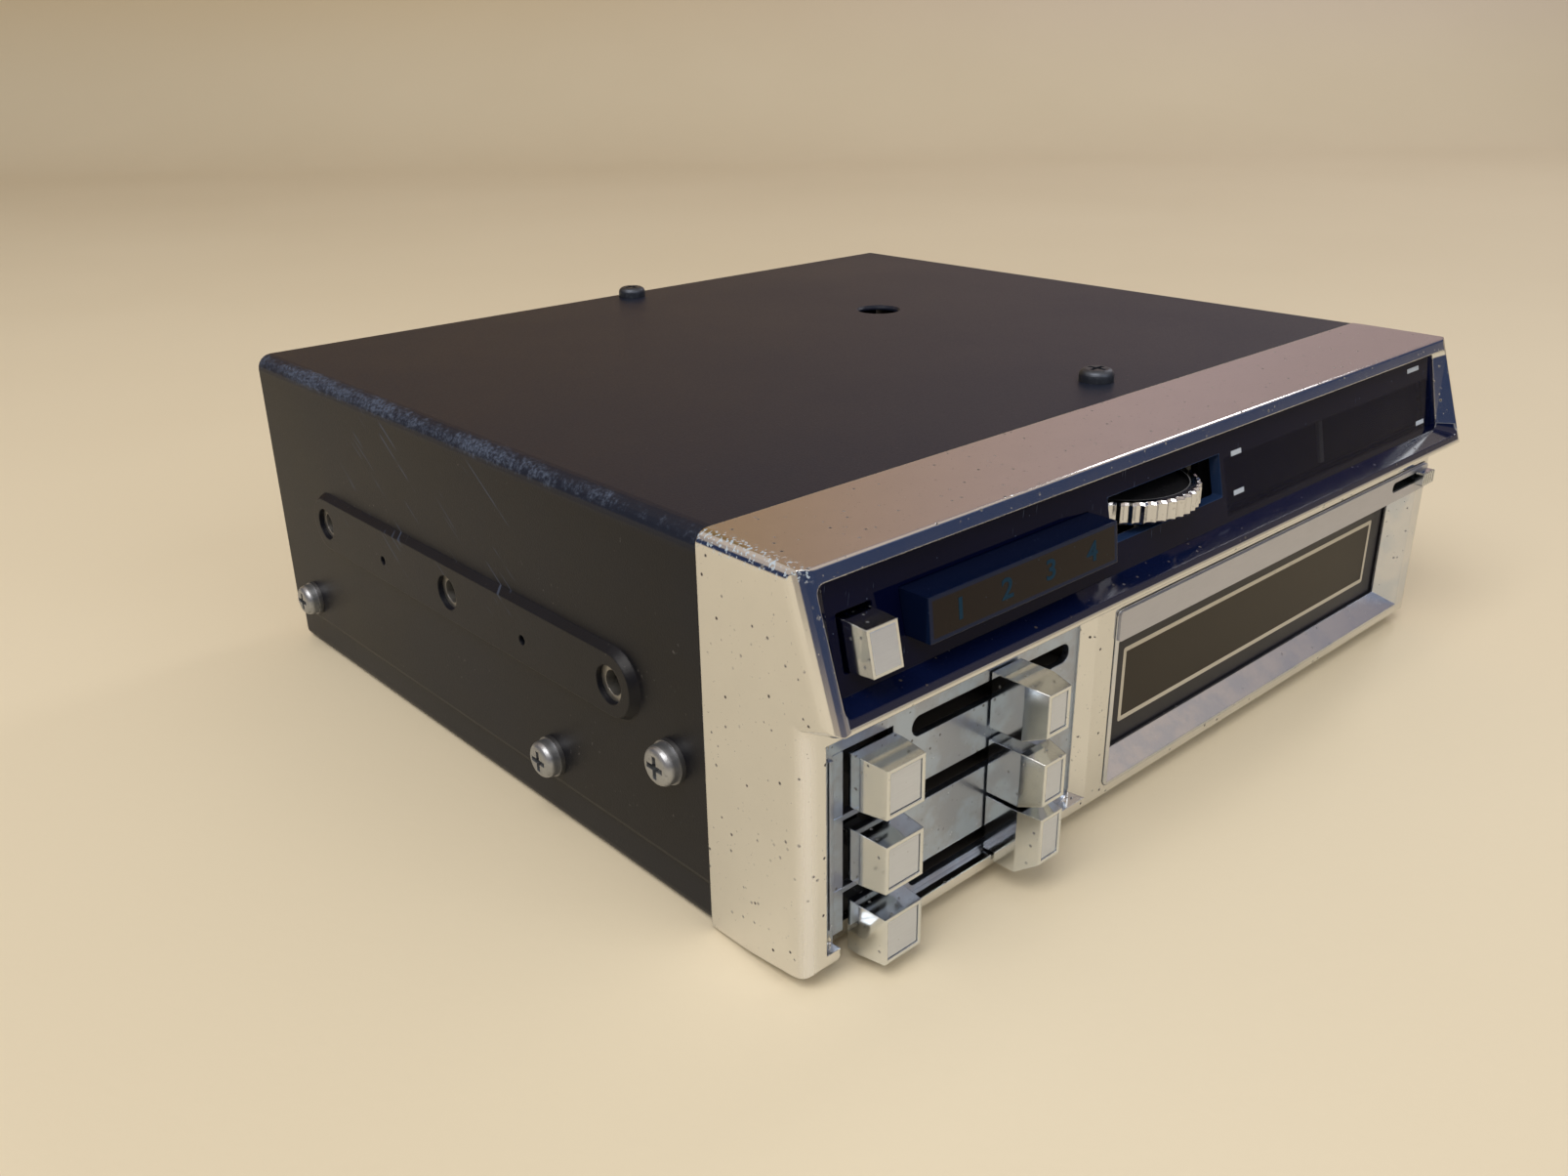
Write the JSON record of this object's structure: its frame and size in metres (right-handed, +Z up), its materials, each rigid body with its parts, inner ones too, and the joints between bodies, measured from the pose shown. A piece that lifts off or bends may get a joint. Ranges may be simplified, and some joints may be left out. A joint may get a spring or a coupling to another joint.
{
  "type": "8 track player",
  "caption": "In-dash car tape player and radio: steel box, bright front with slanted dial, thumbwheel, slider knobs, push buttons and a sprung tape door.",
  "frame": {"origin": "centre of the underside of the steel case", "axes": "+X to the right as the driver sees the front, +Y to the back of the unit, +Z up; the front faces -Y"},
  "size_m": [0.1946, 0.1852, 0.0679],
  "materials": {
    "case_paint": "satin black, worn at the edges",
    "pan_paint": "satin black",
    "bright_plating": "bright, lightly pitted",
    "bezel_plating": "bright, lightly pitted",
    "satin_trim": "satin",
    "control_plating": "bright, satin inlay",
    "wheel_plating": "bright flutes, dark top",
    "dial_smoke": "gloss, smoked",
    "scale_print": "matt black, pale marks",
    "indicator_smoke": "gloss, smoked blue",
    "pointer_paint": "satin",
    "black_plastic": "matt",
    "white_plastic": "satin",
    "door_paint": "satin dark brown with a cream line",
    "zinc_plate": "zinc plated",
    "dark_zinc": "oiled spring steel",
    "polished_steel": "polished",
    "brass": "turned",
    "cast_zinc": "turned",
    "motor_can": "satin grey",
    "coil_copper": "enamelled wire",
    "track_board": "resin board",
    "cord_thread": "waxed cord",
    "belt_rubber": "matt",
    "bulb_glass": "clear",
    "socket_metal": "nickel plated",
    "sink_black": "black anodised"
  },
  "bodies": {
    "unit": {"top_cover": "case_paint", "bottom_pan": "pan_paint", "front_moulding": "bright_plating", "tape_bezel": "bezel_plating", "control_plate": "bezel_plating", "trim_strip": "satin_trim", "dial_window": "dial_smoke", "dial_scale": "scale_print", "program_indicator": "indicator_smoke", "indicator_housing": "black_plastic", "button_bank": "black_plastic", "program_switch": "black_plastic", "local_switch": "black_plastic", "rear_panel": "zinc_plate", "dial_chassis": "zinc_plate", "cartridge_guide": "zinc_plate", "deck_plate": "zinc_plate", "case_screws": "zinc_plate", "bracket_nuts": "zinc_plate", "split_washers": "dark_zinc", "door_spring": "dark_zinc", "dial_pins": "polished_steel", "pointer_rail": "polished_steel", "door_pin": "polished_steel", "head_post": "polished_steel", "capstan_bearing": "brass", "deck_pillars": "brass", "board_standoffs": "brass", "drive_motor": "motor_can", "solenoid": "coil_copper", "amplifier_board": "track_board", "tuner_board": "track_board", "slide_controls": "track_board", "tuning_cord": "cord_thread", "drive_belt": "belt_rubber", "lead_grommet": "belt_rubber", "dial_lamps": "bulb_glass", "indicator_lamps": "bulb_glass", "aerial_socket": "socket_metal", "heat_sink": "sink_black"},
    "tuning_wheel": {"tuning_wheel": "wheel_plating"},
    "dial_pointer": {"dial_pointer": "pointer_paint"},
    "idler_pulley": {"idler_pulley": "white_plastic"},
    "program_button": {"program_button": "control_plating"},
    "stereo_button": {"stereo_button": "control_plating"},
    "fast_forward_button": {"fast_forward_button": "control_plating"},
    "tuner_button": {"tuner_button": "control_plating"},
    "balance_knob": {"balance_knob": "control_plating"},
    "tone_knob": {"tone_knob": "control_plating"},
    "volume_knob": {"volume_knob": "control_plating"},
    "local_knob": {"local_knob": "control_plating"},
    "tape_door": {"tape_door": "door_paint"},
    "capstan": {"capstan_shaft": "polished_steel", "flywheel": "cast_zinc"},
    "motor_pulley": {"motor_pulley": "brass"},
    "head": {"head_carriage": "zinc_plate", "tape_head": "polished_steel"},
    "program_cam": {"program_cam": "white_plastic"},
    "plunger": {"solenoid_plunger": "polished_steel"}
  },
  "joints": [
    {"name": "door_swing", "type": "hinge", "parent": "unit", "child": "tape_door", "pos_m": [0.03125, -0.0893, 0.0339], "axis": [1, 0, 0], "range_deg": [0, 88], "stiffness_Nm_per_rad": 0.006, "springref_deg": -14.32},
    {"name": "balance_slide", "type": "slide", "parent": "unit", "child": "balance_knob", "axis": [1, 0, 0], "range_m": [-0.0186, 0.0142]},
    {"name": "tone_slide", "type": "slide", "parent": "unit", "child": "tone_knob", "axis": [1, 0, 0], "range_m": [-0.0186, 0.0142]},
    {"name": "volume_slide", "type": "slide", "parent": "unit", "child": "volume_knob", "axis": [1, 0, 0], "range_m": [-0.0186, 0.0142]},
    {"name": "stereo_press", "type": "slide", "parent": "unit", "child": "stereo_button", "axis": [0, 1, 0], "range_m": [0, 0.0024], "stiffness_N_per_m": 500, "springref_m": -0.001},
    {"name": "fast_forward_press", "type": "slide", "parent": "unit", "child": "fast_forward_button", "axis": [0, 1, 0], "range_m": [0, 0.0024], "stiffness_N_per_m": 500, "springref_m": -0.001},
    {"name": "tuner_press", "type": "slide", "parent": "unit", "child": "tuner_button", "axis": [0, 1, 0], "range_m": [0, 0.0024], "stiffness_N_per_m": 500, "springref_m": -0.001},
    {"name": "program_press", "type": "slide", "parent": "unit", "child": "program_button", "axis": [0, 1, 0], "range_m": [0, 0.002], "stiffness_N_per_m": 400, "springref_m": -0.001},
    {"name": "local_slide", "type": "slide", "parent": "unit", "child": "local_knob", "axis": [1, 0, 0], "range_m": [-0.01, 0]},
    {"name": "wheel_turn", "type": "hinge", "parent": "unit", "child": "tuning_wheel", "pos_m": [-0.0125, -0.085, 0.055], "axis": [0, 0, 1], "range_deg": [-350, 350]},
    {"name": "pointer_slide", "type": "slide", "parent": "unit", "child": "dial_pointer", "axis": [1, 0, 0], "range_m": [-0.028, 0.028]},
    {"name": "idler_turn", "type": "hinge", "parent": "unit", "child": "idler_pulley", "pos_m": [0.084, -0.085, 0.0504], "axis": [0, 0, 1], "range_deg": [-350, 350]},
    {"name": "capstan_turn", "type": "hinge", "parent": "unit", "child": "capstan", "pos_m": [0.065, 0.0082, 0.04], "axis": [0, 0, 1], "continuous": true},
    {"name": "pulley_turn", "type": "hinge", "parent": "unit", "child": "motor_pulley", "pos_m": [-0.052, 0.0442, 0.048], "axis": [0, 0, 1], "continuous": true},
    {"name": "cam_turn", "type": "hinge", "parent": "unit", "child": "program_cam", "pos_m": [0.03725, 0.0202, 0.006], "axis": [0, 0, 1], "range_deg": [0, 270]},
    {"name": "head_lift", "type": "slide", "parent": "unit", "child": "head", "axis": [0, 0, 1], "range_m": [0, 0.0024]},
    {"name": "plunger_pull", "type": "slide", "parent": "unit", "child": "plunger", "axis": [1, 0, 0], "range_m": [-0.004, 0], "stiffness_N_per_m": 80, "springref_m": 0.002}
  ],
  "couplings": [
    {"joint": "pointer_slide", "follows": "wheel_turn", "m_per_rad": 0.0045},
    {"joint": "idler_turn", "follows": "wheel_turn", "ratio": 1},
    {"joint": "pulley_turn", "follows": "capstan_turn", "ratio": 5.1},
    {"joint": "cam_turn", "follows": "head_lift", "rad_per_m": 1963.5}
  ]
}
